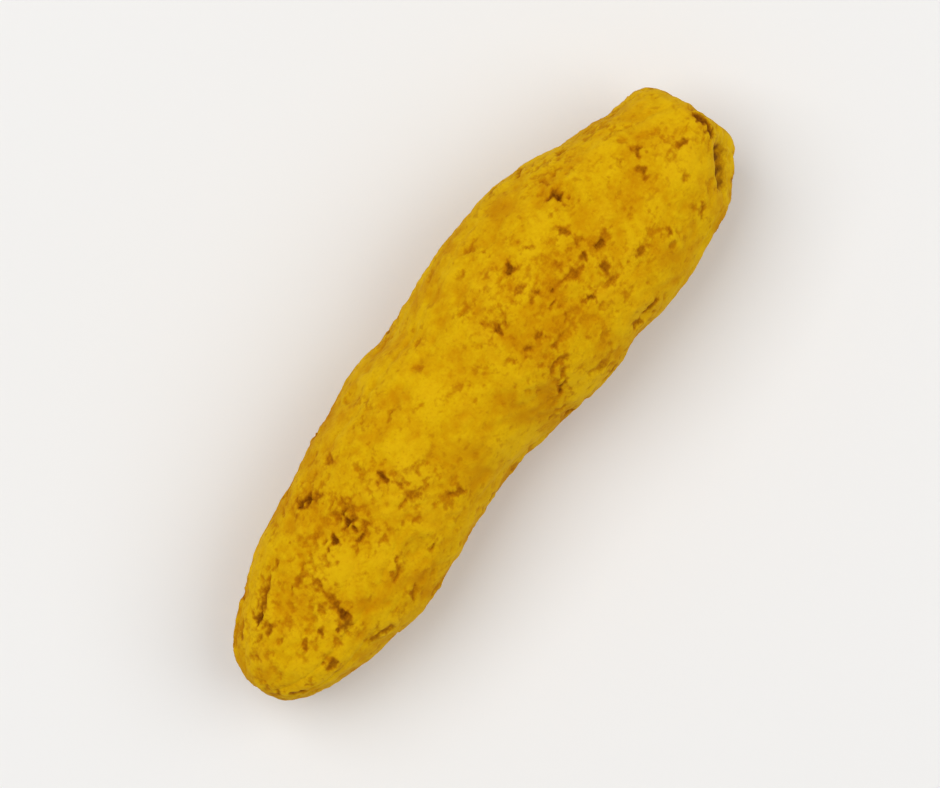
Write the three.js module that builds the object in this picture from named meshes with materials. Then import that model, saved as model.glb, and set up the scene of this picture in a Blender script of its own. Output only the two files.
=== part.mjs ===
// A dried turmeric finger: one branch of the rhizome, broken from its parent, boiled, dried and tumbled.
// Millimetres, +Z up. The finger lies along +X on a flat spot worn under its belly, with the growing tip
// at -X and the broken neck at +X. The origin is under the middle of its box, on the surface it lies on.
import * as THREE from "three";

// Form of the finger. A station is a distance along its spine, from the growing tip.
const HALF_WIDTHS = [
  // station, half width across the finger
  [0, 0],
  [0.03, 0.4],
  [0.14, 0.85],
  [0.35, 1.3],
  [0.7, 1.8],
  [1.9, 2.68],
  [4.6, 3.7],
  [7.8, 4.45],
  [12.5, 4.78],
  [18.3, 4.98],
  [23.5, 5.4],
  [27.3, 5.2],
  [30.8, 4.65],
  [33.4, 4.02],
  [35, 3.56],
  [36.2, 3.15],
  [36.7, 2.78],
  [36.93, 2.3],
  [37.03, 1.7],
  [37.06, 0.9],
  [37.07, 0],
];
const SPINE = [
  // station, sideways place of the spine: the finger bows towards +Y
  [0, 0.65],
  [6.7, 0.6],
  [13, 1.3],
  [20, 1.1],
  [25, 0.62],
  [31, 0],
  [34, -0.46],
  [37.2, -0.3],
];
const ROUNDNESS = 0.94; // height of a cross-section over its width
const SPINE_HEIGHT = 4.68; // of the spine over the surface, at the middle station
const SPINE_RISE = 0.029; // of the spine over each millimetre towards the neck: it levels the belly
const MIDDLE_STATION = 19;
const SPINE_STEPS = 240; // of the polyline that the spine's curve is read off
const RELIEF_FULL = 2.4; // half width from which the relief has its full depth; it fades out at both ends

// Swellings of uneven growth: depth, waves round the finger, radians per millimetre along it, phase.
const SWELLINGS = [
  [0.14, 2, 0.23, 0.6],
  [0.12, 3, -0.31, 2.2],
  [0.09, 1, 0.62, 4.1],
  [0.06, 5, 0.47, 1.3],
];

// Nodes, where scale leaves grew: a shrunken groove round the finger with a low ridge on its tip side.
const NODES = [
  // station, depth of the groove, lean of its plane in millimetres, turn where it is deepest
  [5.2, 0.12, 0.7, 2.4],
  [10.6, 0.13, 0.9, 3.6],
  [18.3, 0.22, 0.7, 0.2],
  [25.6, 0.14, 1.1, 1.9],
  [31.6, 0.18, 0.7, 0.9],
];
const NODE_WIDTH = 1.1;
const NODE_WAVE = 0.25; // how far its line waves along the finger
const NODE_WAVES = 3;
const NODE_LEAST = 0.25; // depth on its faintest side over the deepest
const NODE_RIDGE = 0.4; // height of the ridge over the depth of its groove
const NODE_RIDGE_OFFSET = 1.9;

// Furrows along the finger, where the skin shrank as it dried. They wander round it and die out.
const FURROWS = 13;
const FURROW_DEPTH = 0.13;
const FURROW_WANDER = { reach: 1.7, waves: 2, rate: 0.21 }; // radians, waves round, radians per millimetre
const FURROW_FADE = { waves: 3, rate: 0.33 };

// Scars of rootlets rubbed off: shallow dishes with a low rim.
const ROOT_SCARS = [
  // station, turn round the finger in degrees, radius, depth
  [10.1, 130, 0.95, 0.26],
  [9.9, 72, 0.6, 0.16],
  [22.0, 85, 0.7, 0.2],
  [29.2, 62, 0.7, 0.24],
  [15.0, 30, 0.75, 0.16],
  [27.3, 152, 0.75, 0.2],
  [13.2, 205, 0.9, 0.24],
  [24.0, 222, 0.8, 0.22],
  [32.0, 318, 0.85, 0.24],
  [17.5, 325, 0.95, 0.26],
  [7.0, 300, 0.7, 0.2],
];
const SCAR_RIM = { height: 0.3, reach: 1.25, width: 0.4 }; // over the dish's depth, and over its radius
const SCAR_DISH_WIDTH = 0.75; // over the radius

// Broken neck: an oblique face with a rolled rim, and a short level groove under its upper rim.
const NECK_FACE_POINT = new THREE.Vector3(36.21, -3.39, 4.3);
const NECK_FACE_NORMAL = new THREE.Vector3(0.62, -0.78, 0.37).normalize();
const NECK_FACE_ALONG = new THREE.Vector3(0, 0, 1).cross(NECK_FACE_NORMAL).normalize();
const NECK_FACE_UP = NECK_FACE_NORMAL.clone().cross(NECK_FACE_ALONG);
const NECK_ROLL = 0.2; // softness of the edge between the skin and the face
const NECK_FACE_REACH = 0.35; // the groove is whole where the skin was pressed back this far
// The groove's middle and height are from the face's point; past its whole half length it fades out.
const NECK_GROOVE = { middle: -0.27, height: 2.48, width: 0.75, depth: 0.5, whole: 0.7, end: 1.6 };

const ROWS = 92;
const COLUMNS = 52;
const SKIN = new THREE.MeshStandardMaterial({ color: 0xd3a204, roughness: 0.9, metalness: 0 });

const bump = (distance, width) => Math.exp(-((distance / width) ** 2));

// Smooth curve through [station, value] points.
function curveThrough(points) {
  return new THREE.SplineCurve(points.map(([station, value]) => new THREE.Vector2(station, value)));
}

// Sideways place and direction of the spine at a station, read off a fine polyline of its curve.
const spineLine = curveThrough(SPINE).getPoints(SPINE_STEPS);
function spineAt(station) {
  const last = spineLine.length - 2;
  let i = spineLine.findIndex((p) => p.x > station) - 1;
  if (i < 0) i = station <= 0 ? 0 : last;
  const [a, b] = [spineLine[i], spineLine[i + 1]];
  const slope = (b.y - a.y) / (b.x - a.x);
  return { side: a.y + slope * (station - a.x), heading: Math.atan(slope) };
}

function swelling(station, turn) {
  return SWELLINGS.reduce((sum, [depth, waves, rate, phase]) => {
    return sum + depth * Math.sin(waves * turn + rate * station + phase);
  }, 0);
}

function nodeRelief(station, turn) {
  return NODES.reduce((sum, [place, depth, lean, deepTurn]) => {
    const line = place + lean * Math.sin(turn - deepTurn) + NODE_WAVE * Math.sin(NODE_WAVES * turn + place);
    const along = station - line;
    const strength = NODE_LEAST + (1 - NODE_LEAST) * Math.cos((turn - deepTurn) / 2) ** 2;
    const ridge = NODE_RIDGE * bump(along + NODE_RIDGE_OFFSET, NODE_WIDTH);
    return sum + depth * strength * (ridge - bump(along, NODE_WIDTH));
  }, 0);
}

function furrowRelief(station, turn) {
  const wander = FURROW_WANDER.reach * Math.sin(FURROW_WANDER.rate * station + FURROW_WANDER.waves * turn);
  const valley = 1 - Math.abs(Math.sin((FURROWS * turn) / 2 + wander));
  const strength = (1 + Math.sin(FURROW_FADE.rate * station + FURROW_FADE.waves * turn)) / 2;
  return -FURROW_DEPTH * strength * valley ** 2;
}

function rootScarRelief(station, turn, halfWidth) {
  return ROOT_SCARS.reduce((sum, [place, degrees, radius, depth]) => {
    const away = turn - THREE.MathUtils.degToRad(degrees);
    const round = halfWidth * Math.atan2(Math.sin(away), Math.cos(away));
    const reach = Math.hypot(station - place, round) / radius;
    const rim = SCAR_RIM.height * bump(reach - SCAR_RIM.reach, SCAR_RIM.width);
    return sum + depth * (rim - bump(reach, SCAR_DISH_WIDTH));
  }, 0);
}

// Presses what stands beyond the broken neck's plane back to it, and cuts the groove into the face.
function breakNeck(point) {
  const out = point.clone().sub(NECK_FACE_POINT);
  const beyond = out.dot(NECK_FACE_NORMAL);
  const pressed = NECK_ROLL * Math.log1p(Math.exp(beyond / NECK_ROLL));
  const along = Math.abs(out.dot(NECK_FACE_ALONG) - NECK_GROOVE.middle);
  const lasting = 1 - THREE.MathUtils.smoothstep(along, NECK_GROOVE.whole, NECK_GROOVE.end);
  const groove = lasting * bump(out.dot(NECK_FACE_UP) - NECK_GROOVE.height, NECK_GROOVE.width);
  const onFace = THREE.MathUtils.smoothstep(beyond, 0, NECK_FACE_REACH);
  return point.addScaledVector(NECK_FACE_NORMAL, -pressed - NECK_GROOVE.depth * onFace * groove);
}

// A point of the skin from its station, its half width and its turn round the spine, which is 0 towards +Y
// and a quarter turn upwards.
function skinPoint(station, halfWidth, turn) {
  const { side, heading } = spineAt(station);
  const fade = THREE.MathUtils.smoothstep(halfWidth, 0, RELIEF_FULL);
  const relief =
    swelling(station, turn) +
    nodeRelief(station, turn) +
    furrowRelief(station, turn) +
    rootScarRelief(station, turn, halfWidth);
  const reach = halfWidth + fade * relief;
  const across = reach * Math.cos(turn);
  const height = SPINE_HEIGHT + SPINE_RISE * (station - MIDDLE_STATION);
  const point = new THREE.Vector3(
    station - across * Math.sin(heading),
    side + across * Math.cos(heading),
    height + ROUNDNESS * reach * Math.sin(turn),
  );
  breakNeck(point);
  point.z = Math.max(point.z, 0);
  return point;
}

// The finger's profile turned round its spine, each vertex then moved to its place on the grown skin.
function fingerGeometry() {
  const profile = curveThrough(HALF_WIDTHS).getSpacedPoints(ROWS);
  const geometry = new THREE.LatheGeometry(
    profile.map((p) => new THREE.Vector2(Math.max(p.y, 0), p.x)),
    COLUMNS,
  );
  const place = geometry.getAttribute("position");
  for (let i = 0; i < place.count; i++) {
    const [x, y, z] = [place.getX(i), place.getY(i), place.getZ(i)];
    const point = skinPoint(y, Math.hypot(x, z), Math.atan2(x, z));
    place.setXYZ(i, point.x, point.y, point.z);
  }
  geometry.computeBoundingBox();
  const middle = geometry.boundingBox.getCenter(new THREE.Vector3());
  geometry.translate(-middle.x, -middle.y, 0);
  geometry.computeVertexNormals();
  return geometry;
}

const finger = new THREE.Mesh(fingerGeometry(), SKIN);
finger.name = "turmeric_root";

const turmericRoot = new THREE.Group();
turmericRoot.name = "turmeric";
turmericRoot.add(finger);

export default turmericRoot;
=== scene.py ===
"""A dried turmeric finger on a pale floor: the fine skin, finish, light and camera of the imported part.

The tables are in millimetres, in the finger's own frame: x is the station along its spine from the growing
tip, y the sideways place, z the height over the surface that it lies on. Meshes and lights are in metres.
"""

import bpy
import numpy as np
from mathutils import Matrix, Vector


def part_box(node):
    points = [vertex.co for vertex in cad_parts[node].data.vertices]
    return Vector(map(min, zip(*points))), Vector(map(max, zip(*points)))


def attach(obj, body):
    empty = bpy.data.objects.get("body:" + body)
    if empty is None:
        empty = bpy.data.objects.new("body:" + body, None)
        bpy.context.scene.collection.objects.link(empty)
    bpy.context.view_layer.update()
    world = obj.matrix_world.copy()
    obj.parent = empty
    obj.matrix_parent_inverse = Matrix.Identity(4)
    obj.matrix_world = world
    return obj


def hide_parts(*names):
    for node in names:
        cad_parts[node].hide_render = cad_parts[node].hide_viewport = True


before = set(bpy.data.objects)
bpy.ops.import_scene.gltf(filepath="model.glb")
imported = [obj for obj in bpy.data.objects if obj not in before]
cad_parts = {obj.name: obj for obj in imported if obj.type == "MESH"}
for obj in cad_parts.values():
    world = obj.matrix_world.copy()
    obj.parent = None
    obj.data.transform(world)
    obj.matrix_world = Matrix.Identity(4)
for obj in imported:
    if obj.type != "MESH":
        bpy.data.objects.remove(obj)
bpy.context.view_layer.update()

MM = 0.001
NODE_NAME = "turmeric_root"

# Form of the finger, the same as the solid's
HALF_WIDTHS = [
    # station, half width across the finger
    (0, 0),
    (0.03, 0.4),
    (0.14, 0.85),
    (0.35, 1.3),
    (0.7, 1.8),
    (1.9, 2.68),
    (4.6, 3.7),
    (7.8, 4.45),
    (12.5, 4.78),
    (18.3, 4.98),
    (23.5, 5.4),
    (27.3, 5.2),
    (30.8, 4.65),
    (33.4, 4.02),
    (35, 3.56),
    (36.2, 3.15),
    (36.7, 2.78),
    (36.93, 2.3),
    (37.03, 1.7),
    (37.06, 0.9),
    (37.07, 0),
]
SPINE = [
    # station, sideways place of the spine
    (0, 0.65),
    (6.7, 0.6),
    (13, 1.3),
    (20, 1.1),
    (25, 0.62),
    (31, 0),
    (34, -0.46),
    (37.2, -0.3),
]
ROUNDNESS = 0.94  # height of a cross-section over its width
SPINE_HEIGHT = 4.68  # of the spine over the surface, at the middle station
SPINE_RISE = 0.029  # of the spine over each millimetre towards the neck
MIDDLE_STATION = 19
CURVE_STEPS = 3000  # of the polyline that a curve is read off
RELIEF_FULL = 2.4  # half width from which the relief has its full depth

SWELLINGS = [
    # depth, waves round the finger, radians per millimetre along it, phase
    (0.14, 2, 0.23, 0.6),
    (0.12, 3, -0.31, 2.2),
    (0.09, 1, 0.62, 4.1),
    (0.06, 5, 0.47, 1.3),
]
NODES = [
    # station, depth of the groove, lean of its plane, turn where it is deepest
    (5.2, 0.12, 0.7, 2.4),
    (10.6, 0.13, 0.9, 3.6),
    (18.3, 0.22, 0.7, 0.2),
    (25.6, 0.14, 1.1, 1.9),
    (31.6, 0.18, 0.7, 0.9),
]
NODE_WIDTH = 1.1
NODE_WAVE, NODE_WAVES = 0.25, 3  # how far its line waves along the finger, and how often round it
NODE_LEAST = 0.25  # depth on its faintest side over the deepest
NODE_RIDGE, NODE_RIDGE_OFFSET = 0.4, 1.9  # height over the groove's depth, and distance from the groove
FURROWS = 13
FURROW_DEPTH = 0.13
FURROW_WANDER, FURROW_WANDER_WAVES, FURROW_WANDER_RATE = 1.7, 2, 0.21
FURROW_FADE_WAVES, FURROW_FADE_RATE = 3, 0.33
ROOT_SCARS = [
    # station, turn round the finger in degrees, radius, depth
    (10.1, 130, 0.95, 0.26),
    (9.9, 72, 0.6, 0.16),
    (22.0, 85, 0.7, 0.2),
    (29.2, 62, 0.7, 0.24),
    (15.0, 30, 0.75, 0.16),
    (27.3, 152, 0.75, 0.2),
    (13.2, 205, 0.9, 0.24),
    (24.0, 222, 0.8, 0.22),
    (32.0, 318, 0.85, 0.24),
    (17.5, 325, 0.95, 0.26),
    (7.0, 300, 0.7, 0.2),
]
SCAR_RIM, SCAR_RIM_REACH, SCAR_RIM_WIDTH = 0.3, 1.25, 0.4  # over the dish's depth, and over its radius
SCAR_DISH_WIDTH = 0.75  # over the radius
NECK_FACE_POINT = (36.21, -3.39, 4.3)
NECK_FACE_FACING = (0.62, -0.78, 0.37)  # the way that the face looks
NECK_ROLL = 0.2  # softness of the edge between the skin and the face
NECK_FACE_REACH = 0.35  # the face is whole where the skin was pressed back this far
NECK_GROOVE_MIDDLE, NECK_GROOVE_HEIGHT = -0.27, 2.48  # from the face's point
NECK_GROOVE_WIDTH, NECK_GROOVE_DEPTH = 0.75, 0.5
NECK_GROOVE_WHOLE, NECK_GROOVE_END = 0.7, 1.6  # half lengths where it starts to fade and where it is gone

# Grid of the fine skin: the crowding times the turn's cosine is added to the turn, for more columns on top
ROWS = 400
COLUMNS = 244
COLUMN_CROWDING = 0.3

# Pits and cracks of the upper side: x, y, length, heading in degrees, strength
STROKES = [
    (3.1, 2.62, 0.6, 10, 1),
    (3.9, 2.95, 1.3, 24, 0.75),
    (4.65, 3.28, 0.8, 19, 0.65),
    (2.25, 2.0, 0.5, -8, 0.6),
    (2.85, 1.98, 0.5, 15, 0.75),
    (1.8, 2.9, 0.35, -20, 0.75),
    (6.1, 1.1, 0.4, 80, 0.6),
    (6.0, 0.45, 1.0, 80, 0.6),
    (5.85, -0.25, 0.8, 68, 0.75),
    (5.72, -0.8, 0.45, 75, 1),
    (5.4, -1.08, 0.8, 8, 0.85),
    (5.45, 0.3, 0.45, -30, 0.55),
    (5.8, 2.08, 1.5, 6, 0.55),
    (6.95, 2.3, 0.6, -5, 0.4),
    (5.65, 3.55, 0.35, 60, 0.6),
    (7.45, 1.55, 0.6, 75, 0.5),
    (8.35, 1.85, 0.45, 10, 1),
    (8.1, 2.65, 0.3, 0, 0.55),
    (9.15, 4.25, 0.7, -15, 1),
    (9.2, 4.12, 0.4, 25, 0.8),
    (8.9, 4.45, 0.3, -50, 0.7),
    (9.8, 3.9, 0.5, -50, 0.7),
    (9.62, 1.9, 0.5, 70, 1),
    (9.55, 1.8, 0.3, 0, 1),
    (9.55, 2.5, 0.6, 98, 0.65),
    (10.38, 2.6, 0.5, 75, 0.6),
    (10.3, 2.1, 0.5, 105, 0.6),
    (9.95, 2.97, 0.5, 5, 0.5),
    (9.98, 1.7, 0.4, -5, 0.65),
    (9.5, 0.85, 0.4, 0, 0.9),
    (10.0, 1.0, 0.35, 0, 0.65),
    (8.9, 0.6, 0.3, 30, 0.5),
    (4.45, -1.3, 0.4, 10, 0.5),
    (3.7, 1.2, 0.5, -40, 0.4),
    (2.9, 0.9, 0.4, 60, 0.45),
    (1.4, 1.7, 0.5, 80, 0.5),
    (4.5, 1.6, 0.4, 20, 0.35),
    (11.65, 4.5, 0.35, 35, 0.65),
    (12.42, 1.88, 0.3, 75, 1),
    (12.42, 1.6, 0.4, -65, 0.85),
    (12.7, 0.95, 1.0, -68, 0.6),
    (9.2, -1.65, 1.3, 38, 0.65),
    (11.3, -2.4, 0.5, 30, 0.65),
    (8.7, -3.1, 0.6, 40, 0.6),
    (11.75, -0.9, 0.35, 0, 0.55),
    (9.9, -0.15, 0.7, 10, 0.45),
    (12.7, -0.1, 1.4, -18, 0.6),
    (13.75, -0.15, 0.25, -60, 0.5),
    (13.9, 0.65, 0.7, -42, 0.5),
    (14.1, -1.8, 0.5, -48, 0.7),
    (13.3, -1.35, 1.0, -28, 0.45),
    (6.1, -2.9, 1.1, -38, 0.75),
    (3.25, -1.8, 0.5, 0, 0.8),
    (3.3, -0.1, 0.3, 0, 0.65),
    (4.35, -0.4, 0.3, -60, 0.8),
    (14.9, 5.0, 0.5, 20, 0.4),
    (15.4, 3.3, 0.4, 0, 0.3),
    (14.2, 3.85, 0.3, 0, 0.3),
    (18.05, 3.5, 0.2, 60, 0.5),
    (18.3, 1.4, 0.5, -20, 0.35),
    (18.45, 0.1, 0.2, 0, 0.4),
    (21.9, 3.1, 1.6, 4, 0.25),
    (22.1, 1.45, 0.8, -6, 0.9),
    (21.65, 2.0, 0.7, 108, 0.55),
    (21.0, -0.1, 0.3, -20, 0.55),
    (22.0, -0.5, 0.25, 30, 0.75),
    (22.9, -0.45, 0.35, -25, 0.75),
    (21.75, -1.4, 0.3, 0, 0.45),
    (23.0, -1.5, 0.45, 0, 0.65),
    (23.65, -1.4, 0.2, 0, 0.55),
    (22.0, -2.1, 0.4, 20, 0.6),
    (22.6, -2.15, 0.4, -10, 0.7),
    (21.5, -3.0, 0.6, 32, 0.9),
    (20.0, -3.4, 0.3, 40, 0.6),
    (20.75, -2.1, 0.25, 0, 0.4),
    (24.85, 2.65, 0.4, -30, 1),
    (26.2, 2.6, 0.25, 0, 0.5),
    (25.4, 1.95, 0.35, 30, 0.4),
    (24.3, 1.65, 0.3, -40, 0.6),
    (23.55, 1.6, 0.3, 80, 0.45),
    (24.7, 0.85, 0.25, 0, 0.75),
    (26.4, 0.8, 0.25, 60, 0.6),
    (25.3, 0.3, 0.3, -25, 0.8),
    (24.65, -0.1, 0.25, 20, 0.7),
    (24.6, -1.05, 0.25, 0, 0.55),
    (24.6, 4.95, 0.65, -4, 0.5),
    (24.7, 4.4, 0.3, -20, 0.4),
    (22.9, 4.55, 0.4, 15, 0.35),
    (23.9, 3.35, 0.25, -30, 0.4),
    (29.15, 3.0, 0.75, -34, 1),
    (29.35, 2.85, 0.3, -34, 1),
    (28.3, 2.65, 0.25, 60, 0.45),
    (29.4, 4.05, 0.25, 30, 0.6),
    (30.3, 3.75, 0.45, 15, 0.4),
    (31.25, 4.05, 0.25, 25, 0.6),
    (27.95, 1.55, 0.45, -50, 0.75),
    (27.95, 0.65, 0.25, 20, 0.65),
    (27.45, -0.05, 0.45, 58, 0.95),
    (28.4, -0.2, 0.35, -20, 0.85),
    (26.15, 0.05, 1.6, -19, 0.6),
    (25.3, -1.25, 1.5, -11, 0.4),
    (28.9, -0.15, 1.1, 8, 0.5),
    (30.5, -2.0, 0.9, 5, 0.4),
    (31.0, -2.35, 0.6, -60, 0.4),
    (22.2, -2.55, 1.3, 35, 0.5),
    (23.4, -3.85, 1.6, -22, 0.5),
    (27.8, -1.0, 0.5, -62, 0.8),
    (26.1, -1.4, 0.25, -15, 0.95),
    (27.3, -1.75, 0.4, 80, 0.6),
    (29.4, -2.05, 0.55, -35, 0.7),
    (31.2, -2.8, 0.5, 82, 0.7),
    (27.0, -2.9, 0.4, 10, 0.4),
    (32.45, 1.45, 0.25, 60, 0.5),
    (33.55, 1.0, 0.25, 40, 0.75),
    (32.7, 0.05, 0.45, 88, 0.75),
    (33.5, 2.5, 0.25, -30, 0.35),
    (33.0, 3.35, 1.6, -24, 0.4),
    (35.25, -0.65, 0.3, 20, 0.75),
    (34.4, -0.5, 0.7, 4, 0.4),
    (33.9, -1.65, 0.4, 40, 0.5),
    (33.0, -3.4, 0.45, 78, 0.6),
    (27.4, -4.1, 0.8, -4, 0.9),
    (26.5, -4.05, 0.7, 8, 0.75),
    (25.0, -3.1, 0.5, -40, 0.35),
    (36.7, -0.7, 0.8, 85, 1),
    (36.55, -0.8, 0.4, 85, 0.8),
    (36.5, -1.5, 0.45, 20, 1),
]
# Low ridges of the upper side: x, y, length, heading in degrees, strength
RIDGES = [
    (16.1, 5.5, 1.2, -58, 1),
    (16.45, 4.3, 1.2, -82, 0.8),
    (9.75, -1.0, 1.4, 36, 0.8),
    (12.6, 0.25, 1.6, -18, 0.8),
    (12.7, -0.5, 1.5, -18, 0.7),
]
UPPER_RISE = 0.05  # least upward share of the normal on the upper side

# Marks of the flanks and the underside: drawn by rule, in loose groups
GROUPS = 64
GROUP_SPREAD = 1.3
GROUP_MARKS = (2, 6)
MARK_LENGTHS = (0.1, 0.9)
MARK_STRENGTHS = (0.3, 1.0)
MARK_SEED = 11
MARK_END_ROWS = 8  # rows at the tip and at the neck with no group's middle
MARK_WINDOW = 3.5  # farthest along the finger that a mark is felt
FLANK_RISE, FLANK_REACH = 0.25, 0.35  # most upward share of the normal, at a group's middle and at its marks

# Fainter marks about every mark
FAINT_MARKS = 2
FAINT_SPREAD = 0.8
FAINT_LENGTHS = (0.1, 0.8)
FAINT_STRENGTHS = (0.15, 0.4)
FAINT_SEED = 12

# Pits and cracks: a hollow with a low rim and a wider stain, on a skin that is moved a little by noise
PIT_WIDTH, PIT_WIDENING, PIT_DEPTH = 0.12, 0.09, 0.13
PIT_TAPER = 0.45  # of the width, towards the ends of the stroke
PIT_RAGGED, PIT_RAGGED_SIZE, PIT_RAGGED_SEED = 0.42, 0.4, 24
PIT_RIM_REACH, PIT_RIM_WIDTH, PIT_RIM_HEIGHT = 2.0, 0.9, 0.14  # over the hollow's width and depth
PIT_STAIN_SPREAD = 1.5  # over the hollow's width
WARP_SIZE, WARP_REACH, WARP_SEEDS = 0.7, 0.09, (21, 22, 23)
RIDGE_WIDTH, RIDGE_HEIGHT = 0.16, 0.05

# The skin has shrunk about its marks, and there it has creases and freckles
SHRINK_REACH, SHRINK_MOST = 1.1, 0.45
CREASES = [
    # size across, stretch along the finger, width over the noise's spread, depth, seed
    (1.5, 0.3, 0.2, 0.045, 4),
    (0.7, 0.5, 0.25, 0.028, 8),
]
CREASE_LEAST, CREASE_STAIN = 0.3, 0.4
FRECKLE_SIZE, FRECKLE_DEPTH, FRECKLE_STAIN, FRECKLE_SEED = 0.85, 0.04, 0.5, 6
FRECKLE_START, FRECKLE_FULL = 0.9, 1.8
LUMPS = [
    # size, height, seed
    (3.4, 0.032, 1),
    (1.5, 0.020, 2),
    (0.6, 0.015, 5),
]
FIBRE_SIZE, FIBRE_HEIGHT, FIBRE_SEED = 0.5, 0.03, 7
# Painted shade that darkens the neck's groove, and how much the fibre frays it
NECK_GROOVE_PAINTED_SHADE, NECK_GROOVE_FRAY = 1.15, 0.28
WAVES = 44  # plane waves in a noise
WAVE_LENGTHS = (0.75, 1.4)  # over the noise's size

# Finish of the skin
# The stain value holds the real stains and also the painted shade of the neck's groove
SKIN_VALUES = ("skin_height", "stain", "shrunken", "broken_face")
SKIN_PATTERNS = [
    # size in millimetres, detail
    (5.0, 3.0),  # cloud
    (1.2, 4.0),  # mottle
    (0.45, 2.0),  # speck
    (0.16, 3.0),  # grain of the powder, which is really finer and is drawn as coarse as it needs to show
]
SKIN_COLOUR = "#D4A602"
SKIN_SPECULAR = 0.06
HOLLOW_SKIN, RUBBED_SKIN = -0.08, 0.07  # heights of the fine skin that are wholly hollow and wholly rubbed
HOLLOW_ROUGHNESS, RUBBED_ROUGHNESS = 0.97, 0.78
STAIN_FRAY = 0.8  # share of the grain that frays a stain's edge
POWDER_STRENGTH, POWDER_HEIGHT = 0.4, 0.06

# Floor, room and lights
FLOOR_HALF = 4.0  # metres
FLOOR_PATCH, FLOOR_DETAIL = 60, 2.0  # size in millimetres, detail
FLOOR_TONES = ("#EBEAE7", "#EEEDEB")
FLOOR_ROUGHNESS, FLOOR_SPECULAR = 0.95, 0.1
ROOM_LEVEL, ROOM_OVERHEAD = "#E9E9E8", "#A8A8AA"
ROOM_OVERHEAD_RISE = 0.5  # upward share of a direction from which the room has its overhead tone
LIGHTS = [
    # name, place and size in metres, power in watts
    ("key", (-0.05, 0.24, 0.48), 0.4, 1.5),
    ("fill", (0.22, -0.24, 0.45), 0.45, 1.1),
]

# Camera: it looks at the middle, where the picture is as wide as the field
MIDDLE = (0, 0, 5 * MM)
FIELD_WIDTH = 48 * MM
VIEW_AZIMUTH, VIEW_ELEVATION = -54, 89  # degrees
LENS, SENSOR = 300, 36
NEAREST_SEEN = 1 * MM


def smoothstep(value, low, high):
    """0 up to low, 1 from high on, and the cubic 3t^2 - 2t^3 between them."""
    t = np.clip((value - low) / (high - low), 0, 1)
    return t * t * (3 - 2 * t)


def bump(distance, width):
    """A bell that is 1 at no distance: e to the power of minus the square of distance over width."""
    return np.exp(-((distance / width) ** 2))


def unit(vectors, axis=-1):
    """The vectors along an axis of an array, each divided by its length."""
    return vectors / np.linalg.norm(vectors, axis=axis, keepdims=True)


def nearest(distances):
    """Row and column of the least of a grid of distances."""
    return np.unravel_index(distances.argmin(), distances.shape)


def curve_through(points):
    """A smooth curve through the points, as a fine polyline.

    Between two points it is the cubic with the slopes of both. A point's slope is half the step from the
    point before it to the point after it.
    """
    points = np.asarray(points, float)
    held = np.vstack([points[:1], points, points[-1:]])
    place = np.linspace(0, len(points) - 1, CURVE_STEPS)
    i = np.minimum(place.astype(int), len(points) - 2)
    t = (place - i)[:, None]
    start, end = held[i + 1], held[i + 2]
    slope_in, slope_out = (end - held[i]) / 2, (held[i + 3] - start) / 2
    cubic = 2 * start - 2 * end + slope_in + slope_out
    square = 3 * end - 3 * start - 2 * slope_in - slope_out
    return ((cubic * t + square) * t + slope_in) * t + start


def evenly_spaced(line, count):
    """Places at equal steps of length along a polyline."""
    steps = np.linalg.norm(np.diff(line, axis=0), axis=1)
    length = np.concatenate([[0], np.cumsum(steps)])
    even = np.linspace(0, length[-1], count)
    return np.interp(even, length, line[:, 0]), np.interp(even, length, line[:, 1])


def coarse_relief(station, half_width, turn):
    """Relief of the solid's skin: swellings, node rings, furrows and rootlet scars, added up.

    A swelling is a sine of the turn and the station. A node is a bell-shaped groove round the finger, on a
    line that leans and waves, with a lower ridge on its tip side. A furrow is the square of a valley that a
    sine of the turn makes where it crosses nought. A scar is a bell-shaped dish with a bell-shaped rim.
    """
    relief = np.zeros(np.broadcast(station, turn).shape)
    for depth, waves, rate, phase in SWELLINGS:
        relief += depth * np.sin(waves * turn + rate * station + phase)
    for place, depth, lean, deep_turn in NODES:
        line = place + lean * np.sin(turn - deep_turn) + NODE_WAVE * np.sin(NODE_WAVES * turn + place)
        strength = NODE_LEAST + (1 - NODE_LEAST) * np.cos((turn - deep_turn) / 2) ** 2
        ridge = NODE_RIDGE * bump(station - line + NODE_RIDGE_OFFSET, NODE_WIDTH)
        relief += depth * strength * (ridge - bump(station - line, NODE_WIDTH))
    wander = FURROW_WANDER * np.sin(FURROW_WANDER_RATE * station + FURROW_WANDER_WAVES * turn)
    valley = 1 - np.abs(np.sin(FURROWS * turn / 2 + wander))
    strength = (1 + np.sin(FURROW_FADE_RATE * station + FURROW_FADE_WAVES * turn)) / 2
    relief -= FURROW_DEPTH * strength * valley**2
    for place, degrees, radius, depth in ROOT_SCARS:
        away = turn - np.radians(degrees)
        around = half_width * np.arctan2(np.sin(away), np.cos(away))
        reach = np.hypot(station - place, around) / radius
        rim = SCAR_RIM * bump(reach - SCAR_RIM_REACH, SCAR_RIM_WIDTH)
        relief += depth * (rim - bump(reach, SCAR_DISH_WIDTH))
    return smoothstep(half_width, 0, RELIEF_FULL) * relief


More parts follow.
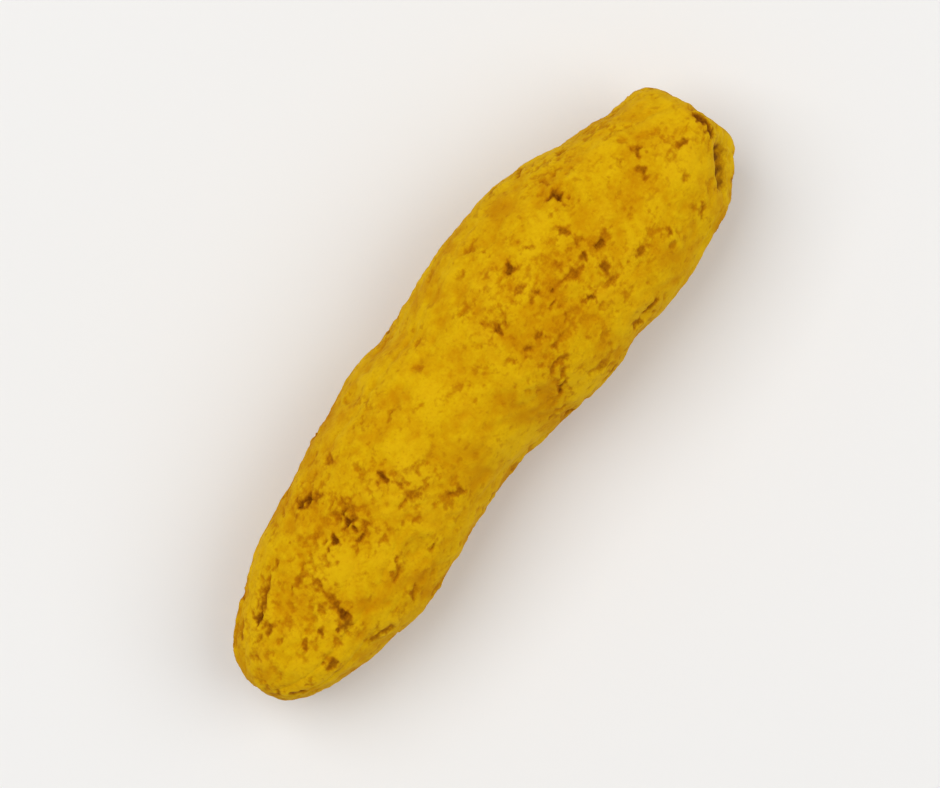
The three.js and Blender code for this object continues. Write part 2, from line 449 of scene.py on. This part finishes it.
def break_neck(points):
    """Presses what stands beyond the neck's plane softly back to it, and cuts a level groove in the face.

    A point is pressed by the roll times the logarithm of 1 plus e to the power of its distance beyond over
    the roll. The groove is a bell about a height on the face, and fades out past its whole half length.
    Gives the points, and how far each is on the face and in the groove, from 0 to 1.
    """
    normal = unit(np.array(NECK_FACE_FACING))
    level = unit(np.cross((0, 0, 1), normal))
    up = np.cross(normal, level)
    out = points - NECK_FACE_POINT
    beyond = out @ normal
    pressed = NECK_ROLL * np.log1p(np.exp(beyond / NECK_ROLL))
    on_face = smoothstep(beyond, 0, NECK_FACE_REACH)
    along = np.abs(out @ level - NECK_GROOVE_MIDDLE)
    lasting = 1 - smoothstep(along, NECK_GROOVE_WHOLE, NECK_GROOVE_END)
    groove = on_face * lasting * bump(out @ up - NECK_GROOVE_HEIGHT, NECK_GROOVE_WIDTH)
    inward = pressed + NECK_GROOVE_DEPTH * groove
    return points - inward[..., None] * normal, on_face, groove


def grown_skin():
    """The solid's skin as a fine grid of points, with its rows along the finger and its columns round it.

    A point stands off the bowed spine by the half width plus the relief, at its turn round the spine, and
    none is lower than the surface. Gives the points, and how far each is on the broken face and in its
    groove.
    """
    station, half_width = (a[:, None] for a in evenly_spaced(curve_through(HALF_WIDTHS), ROWS))
    half_width = np.maximum(half_width, 0)
    even_turn = np.linspace(0, 2 * np.pi, COLUMNS, endpoint=False)[None, :]
    turn = even_turn + COLUMN_CROWDING * np.cos(even_turn)
    spine = curve_through(SPINE)
    side = np.interp(station, spine[:, 0], spine[:, 1])
    heading = np.arctan(np.interp(station, spine[:, 0], np.gradient(spine[:, 1], spine[:, 0])))
    reach = half_width + coarse_relief(station, half_width, turn)
    across = reach * np.cos(turn)
    height = SPINE_HEIGHT + SPINE_RISE * (station - MIDDLE_STATION)
    x = station - across * np.sin(heading)
    y = side + across * np.cos(heading)
    z = height + ROUNDNESS * reach * np.sin(turn)
    points, on_face, groove = break_neck(np.stack([x, y, z], axis=-1))
    points[..., 2] = np.maximum(points[..., 2], 0)
    return points, on_face, groove


def grid_normals(points):
    """Outward unit normals of a closed grid: its step round crossed with its step along.

    The end rows are single points, and take the mean of the row beside them.
    """
    along = np.gradient(points, axis=0)
    around = np.roll(points, -1, axis=1) - np.roll(points, 1, axis=1)
    normal = np.cross(around, along)
    normal[0] = normal[1].mean(axis=0)
    normal[-1] = normal[-2].mean(axis=0)
    return unit(normal)


def wave_noise(points, size, seed):
    """Smooth noise with a spread of about 1: the sum of plane waves in random directions.

    The waves' lengths are drawn from a range about the noise's size.
    """
    random = np.random.default_rng(seed)
    heading = unit(random.normal(size=(3, WAVES)), axis=0)
    length = size * random.uniform(*WAVE_LENGTHS, WAVES)
    phase = random.uniform(0, 2 * np.pi, WAVES)
    return np.sqrt(2 / WAVES) * np.cos(points @ (2 * np.pi * heading / length) + phase).sum(axis=-1)


def stroke_distance(points, centre, normal, heading, length):
    """Distance of points from a short straight stroke on the skin, through a centre, along a heading.

    It is divided by 1 less the taper times the square of the share of the half length: that narrows the ends.
    """
    along = unit(heading - normal * (heading @ normal))
    out = points - centre
    past = np.clip(out @ along, -length / 2, length / 2)
    distance = np.linalg.norm(out - past[..., None] * along, axis=-1)
    return distance / (1 - PIT_TAPER * (2 * past / length) ** 2)


def warped(points, normals):
    """The points moved a little along the skin by noise, which makes strokes measured from them ragged."""
    warp = WARP_REACH * np.stack([wave_noise(points, WARP_SIZE, seed) for seed in WARP_SEEDS], axis=-1)
    return points + warp - normals * (warp * normals).sum(axis=-1, keepdims=True)


def seen_strokes(points, normals, table):
    """The strokes of a table, each on the upper side: its centre, normal, heading, length and strength."""
    up = normals[..., 2] > UPPER_RISE
    for x, y, length, degrees, strength in table:
        at = nearest(np.where(up, np.hypot(points[..., 0] - x, points[..., 1] - y), np.inf))
        heading = np.array([np.cos(np.radians(degrees)), np.sin(np.radians(degrees)), 0])
        yield points[at], normals[at], heading, length, strength


def drawn_strokes(points, normals):
    """Strokes in loose groups on the flanks and the underside, drawn by rule from one seed."""
    random = np.random.default_rng(MARK_SEED)
    inner = normals[MARK_END_ROWS:-MARK_END_ROWS, :, 2]
    flanks = np.argwhere(inner < FLANK_RISE) + (MARK_END_ROWS, 0)
    for middle in random.permutation(flanks)[:GROUPS]:
        group = points[tuple(middle)]
        for _ in range(random.integers(*GROUP_MARKS)):
            place = group + random.normal(0, GROUP_SPREAD, 3)
            at = nearest(np.linalg.norm(points - place, axis=-1))
            length = random.uniform(*MARK_LENGTHS) * random.uniform()
            strength = random.uniform(*MARK_STRENGTHS)
            heading = random.normal(size=3)
            if normals[at][2] < FLANK_REACH:
                yield points[at], normals[at], heading, length, strength


def faint_strokes(points, normals, strokes):
    """Short faint strokes scattered about the given ones, drawn by rule from one seed."""
    random = np.random.default_rng(FAINT_SEED)
    for centre, *_ in strokes:
        for _ in range(FAINT_MARKS):
            place = centre + random.normal(0, FAINT_SPREAD, 3)
            at = nearest(np.linalg.norm(points - place, axis=-1))
            heading = random.normal(size=3)
            length = random.uniform(*FAINT_LENGTHS)
            yield points[at], normals[at], heading, length, random.uniform(*FAINT_STRENGTHS)


def marked_skin(points, normals):
    """Relief of the pits, cracks and ridges in millimetres, and how stained and how shrunken the skin is.

    A pit or crack is a bell of the distance from its stroke, with a low rim. Its stain is a wider bell, and
    the skin is shrunken where it lies in the much wider bell of any mark. A ridge is a bell that stands up.
    """
    relief = np.zeros(points.shape[:2])
    stain = np.zeros_like(relief)
    sound = np.ones_like(relief)
    moved = warped(points, normals)
    ragged = np.exp(PIT_RAGGED * wave_noise(points, PIT_RAGGED_SIZE, PIT_RAGGED_SEED))
    row_places = points[..., 0].mean(axis=1)
    strokes = list(seen_strokes(points, normals, STROKES)) + list(drawn_strokes(points, normals))
    strokes += list(faint_strokes(points, normals, strokes))
    for centre, *stroke, strength in strokes:
        near = np.abs(row_places - centre[0]) < MARK_WINDOW
        distance = ragged[near] * stroke_distance(moved[near], centre, *stroke)
        width = PIT_WIDTH + PIT_WIDENING * strength
        rim = PIT_RIM_HEIGHT * bump(distance / width - PIT_RIM_REACH, PIT_RIM_WIDTH)
        relief[near] += PIT_DEPTH * strength * (rim - bump(distance, width))
        stain[near] = np.maximum(stain[near], strength * bump(distance, PIT_STAIN_SPREAD * width))
        sound[near] *= 1 - SHRINK_MOST * strength * bump(distance, SHRINK_REACH)
    for *stroke, strength in seen_strokes(points, normals, RIDGES):
        relief += RIDGE_HEIGHT * strength * bump(stroke_distance(moved, *stroke), RIDGE_WIDTH)
    return relief, stain, 1 - sound


def wrinkled_skin(points, shrunken):
    """Relief of the lumps, creases and freckles in millimetres, and how much they stain the skin.

    Lumps are noise. A crease is a bell along the line where noise that is drawn out along the finger crosses
    nought. Freckles are the tops of fine noise. Creases and freckles are deeper where the skin is shrunken.
    """
    relief = sum(height * wave_noise(points, size, seed) for size, height, seed in LUMPS)
    stain = np.zeros_like(relief)
    wrinkled = CREASE_LEAST + (1 - CREASE_LEAST) * shrunken
    for size, stretch, width, depth, seed in CREASES:
        crease = wrinkled * bump(wave_noise(points * (stretch, 1, 1), size, seed), width)
        relief -= depth * crease
        stain = np.maximum(stain, CREASE_STAIN * shrunken * crease)
    tops = smoothstep(wave_noise(points, FRECKLE_SIZE, FRECKLE_SEED), FRECKLE_START, FRECKLE_FULL)
    freckles = shrunken * tops
    return relief - FRECKLE_DEPTH * freckles, np.maximum(stain, FRECKLE_STAIN * freckles)


def closed_mesh(name, points, values):
    """A mesh over a grid whose first and last rows are single points, with named numbers on its vertices."""
    rows, columns = points.shape[:2]
    pick = np.concatenate([[0], np.arange(columns, (rows - 1) * columns), [(rows - 1) * columns]])
    ring = np.arange(columns)
    after = np.roll(ring, -1)
    first = 1 + columns * np.arange(rows - 3)[:, None]
    quads = np.stack([first + ring, first + after, first + columns + after, first + columns + ring], axis=-1)
    last = len(pick) - 1
    tip = np.stack([np.zeros_like(ring), 1 + after, 1 + ring], axis=-1)
    end = last - columns
    neck = np.stack([np.full_like(ring, last), end + ring, end + after], axis=-1)
    mesh = bpy.data.meshes.new(name)
    faces = quads.reshape(-1, 4)[:, ::-1].tolist() + tip[:, ::-1].tolist() + neck[:, ::-1].tolist()
    mesh.from_pydata(points.reshape(-1, 3)[pick].tolist(), [], faces)
    for label, value in values.items():
        layer = mesh.attributes.new(label, "FLOAT", "POINT")
        layer.data.foreach_set("value", value.reshape(-1)[pick].astype(np.float32))
    mesh.shade_smooth()
    piece = bpy.data.objects.new(name, mesh)
    bpy.context.scene.collection.objects.link(piece)
    return piece


def build_finger():
    """The fine skin over the solid's form, centred on the solid's box and no lower than the surface."""
    base, on_face, groove = grown_skin()
    normals = grid_normals(base)
    marks, mark_stain, shrunken = marked_skin(base, normals)
    wrinkles, wrinkle_stain = wrinkled_skin(base, shrunken)
    fibre = wave_noise(base, FIBRE_SIZE, FIBRE_SEED)
    # Painted shade: the neck's groove is darkened like a stain, frayed by the fibre
    groove_painted_shade = groove * (NECK_GROOVE_PAINTED_SHADE + NECK_GROOVE_FRAY * fibre)
    # The stain is the real stains of the marks and wrinkles together with the groove's painted shade
    stain = np.maximum.reduce([mark_stain, wrinkle_stain, groove_painted_shade])
    relief = marks + wrinkles + FIBRE_HEIGHT * on_face * fibre
    points = base + relief[..., None] * normals
    corners = base.reshape(-1, 3)
    low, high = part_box(NODE_NAME)
    shift = np.array((low + high) / 2) / MM - (corners.max(axis=0) + corners.min(axis=0)) / 2
    points[..., :2] += shift[:2]
    points[..., 2] = np.maximum(points[..., 2], 0)
    values = dict(zip(SKIN_VALUES, (relief, stain, shrunken, on_face)))
    return closed_mesh("turmeric_skin", points * MM, values)


def linear(hex_colour):
    """An sRGB hex colour as linear red, green, blue and a full alpha, by the sRGB curve."""
    srgb = np.array([int(hex_colour[i : i + 2], 16) for i in (1, 3, 5)]) / 255
    light = np.where(srgb <= 0.04045, srgb / 12.92, ((srgb + 0.055) / 1.055) ** 2.4)
    return (*light.tolist(), 1.0)


def per_mm(size):
    """The scale of a pattern whose features are that many millimetres."""
    return 1 / (size * MM)


def add(tree, kind, inputs, out=None, **settings):
    """Adds a node with its settings and its inputs, each a value or a link, and gives one of its outputs."""
    made = tree.nodes.new(kind)
    for name, value in settings.items():
        setattr(made, name, value)
    for name, value in inputs.items():
        shown = made.inputs if isinstance(name, int) else {s.name: s for s in made.inputs if s.enabled}
        socket = shown[name]
        if isinstance(value, bpy.types.NodeSocket):
            tree.links.new(value, socket)
        else:
            socket.default_value = value
    return made.outputs[out] if out else next(s for s in made.outputs if s.enabled)


def dried_turmeric_skin():
    """Dried turmeric, polished by tumbling: matte, dusted with its own powder.

    Rubbed high places are bright yellow and a little smoother, shrunken places are orange, and pits hold
    brown skin and dirt. The groove in the broken neck is painted dark brown as its shade.
    """
    material = bpy.data.materials.new("dried_turmeric_skin")
    material.use_nodes = True
    tree = material.node_tree
    shader = tree.nodes["Principled BSDF"]
    place = add(tree, "ShaderNodeTexCoord", {}, "Object")
    height, stain, shrunken, face = (
        add(tree, "ShaderNodeAttribute", {}, "Fac", attribute_name=name) for name in SKIN_VALUES
    )
    cloud, mottle, speck, grain = (
        add(tree, "ShaderNodeTexNoise", {"Vector": place, "Scale": per_mm(size), "Detail": detail})
        for size, detail in SKIN_PATTERNS
    )
    frayed = add(tree, "ShaderNodeMath", {0: grain, 1: STAIN_FRAY, 2: stain}, operation="MULTIPLY_ADD")
    layers = [
        # mask, where it starts, where it is full, most of the colour that it lays on, colour
        (cloud, 0.48, 0.68, 0.22, "#C48602"),
        (shrunken, 0.10, 0.90, 0.28, "#BE7C00"),
        (mottle, 0.45, 0.70, 0.50, "#C07C00"),
        (grain, 0.48, 0.70, 0.25, "#B87800"),
        (grain, 0.45, 0.28, 0.30, "#E2BC10"),
        (height, 0.00, RUBBED_SKIN, 0.50, "#DEB206"),
        (height, 0.00, HOLLOW_SKIN, 0.60, "#BC7800"),
        (speck, 0.60, 0.72, 0.45, "#A86400"),
        (face, 0.00, 1.00, 0.35, "#E2BA0A"),
        # Browns of the stains, which also lay the painted shade in the neck's groove
        (frayed, 0.50, 0.95, 0.65, "#A45E00"),
        (frayed, 0.90, 1.40, 0.80, "#5E2A00"),
    ]
    colour = linear(SKIN_COLOUR)
    for mask, start, full, amount, tone in layers:
        reach = {"Value": mask, "From Min": start, "From Max": full, "To Max": amount}
        share = add(tree, "ShaderNodeMapRange", reach)
        tones = {"Factor": share, "A": colour, "B": linear(tone)}
        colour = add(tree, "ShaderNodeMix", tones, data_type="RGBA")
    tree.links.new(colour, shader.inputs["Base Color"])
    dust = {"Height": grain, "Strength": POWDER_STRENGTH, "Distance": POWDER_HEIGHT * MM}
    tree.links.new(add(tree, "ShaderNodeBump", dust), shader.inputs["Normal"])
    rub = {
        "Value": height,
        "From Min": HOLLOW_SKIN,
        "From Max": RUBBED_SKIN,
        "To Min": HOLLOW_ROUGHNESS,
        "To Max": RUBBED_ROUGHNESS,
    }
    tree.links.new(add(tree, "ShaderNodeMapRange", rub), shader.inputs["Roughness"])
    shader.inputs["Specular IOR Level"].default_value = SKIN_SPECULAR
    return material


def matte_white_paint():
    """Matte off-white paint on a studio floor: pale, with the faintest patches."""
    material = bpy.data.materials.new("matte_white_paint")
    material.use_nodes = True
    tree = material.node_tree
    shader = tree.nodes["Principled BSDF"]
    place = add(tree, "ShaderNodeTexCoord", {}, "Object")
    patch = {"Vector": place, "Scale": per_mm(FLOOR_PATCH), "Detail": FLOOR_DETAIL}
    cloud = add(tree, "ShaderNodeTexNoise", patch)
    dark, light = (linear(tone) for tone in FLOOR_TONES)
    paint = add(tree, "ShaderNodeMix", {"Factor": cloud, "A": dark, "B": light}, data_type="RGBA")
    tree.links.new(paint, shader.inputs["Base Color"])
    shader.inputs["Roughness"].default_value = FLOOR_ROUGHNESS
    shader.inputs["Specular IOR Level"].default_value = FLOOR_SPECULAR
    return material


def build_floor():
    """A wide level square at the height that the finger lies on."""
    half = FLOOR_HALF
    corners = [(-half, -half, 0), (half, -half, 0), (half, half, 0), (-half, half, 0)]
    mesh = bpy.data.meshes.new("floor")
    mesh.from_pydata(corners, [], [(0, 1, 2, 3)])
    floor = bpy.data.objects.new("floor", mesh)
    floor.data.materials.append(matte_white_paint())
    bpy.context.scene.collection.objects.link(floor)


def pale_world():
    """A pale room: as bright as the floor at the level of the eye, and dimmer overhead."""
    world = bpy.data.worlds.new("pale_room")
    bpy.context.scene.world = world
    world.use_nodes = True
    tree = world.node_tree
    way = add(tree, "ShaderNodeTexCoord", {}, "Generated")
    up = add(tree, "ShaderNodeSeparateXYZ", {"Vector": way}, "Z")
    rise = {"Value": up, "From Min": 0.0, "From Max": ROOM_OVERHEAD_RISE}
    high = add(tree, "ShaderNodeMapRange", rise)
    tones = {"Factor": high, "A": linear(ROOM_LEVEL), "B": linear(ROOM_OVERHEAD)}
    room = add(tree, "ShaderNodeMix", tones, data_type="RGBA")
    tree.links.new(room, tree.nodes["Background"].inputs["Color"])


def aim(thing, place):
    """Puts a light or camera at a place, looking at the middle of the finger."""
    thing.location = place
    thing.rotation_euler = (Vector(MIDDLE) - Vector(place)).to_track_quat("-Z", "Y").to_euler()


def soft_light(name, place, size, power):
    """A square studio light that looks at the finger."""
    lamp = bpy.data.lights.new(name, "AREA")
    lamp.size = size
    lamp.energy = power
    light = bpy.data.objects.new(name, lamp)
    bpy.context.scene.collection.objects.link(light)
    aim(light, place)


def view_direction(azimuth, elevation):
    """Unit vector from the finger to a camera: azimuth 0 looks along +Y, elevation is up from level."""
    a, e = np.radians([azimuth, elevation])
    return Vector((np.sin(a) * np.cos(e), -np.cos(a) * np.cos(e), np.sin(e)))


def build_camera():
    """A long lens that looks down on the finger, as far off as the width of its field asks."""
    lens = bpy.data.cameras.new("camera")
    lens.lens = LENS
    lens.sensor_width = SENSOR
    lens.clip_start = NEAREST_SEEN
    camera = bpy.data.objects.new("camera", lens)
    bpy.context.scene.collection.objects.link(camera)
    distance = FIELD_WIDTH * LENS / SENSOR
    aim(camera, Vector(MIDDLE) + distance * view_direction(VIEW_AZIMUTH, VIEW_ELEVATION))
    bpy.context.scene.camera = camera


build_camera()
finger = build_finger()
finger.data.materials.append(dried_turmeric_skin())
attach(finger, "root")
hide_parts(NODE_NAME)

build_floor()
pale_world()
for light in LIGHTS:
    soft_light(*light)
bpy.context.scene.view_settings.view_transform = "Standard"
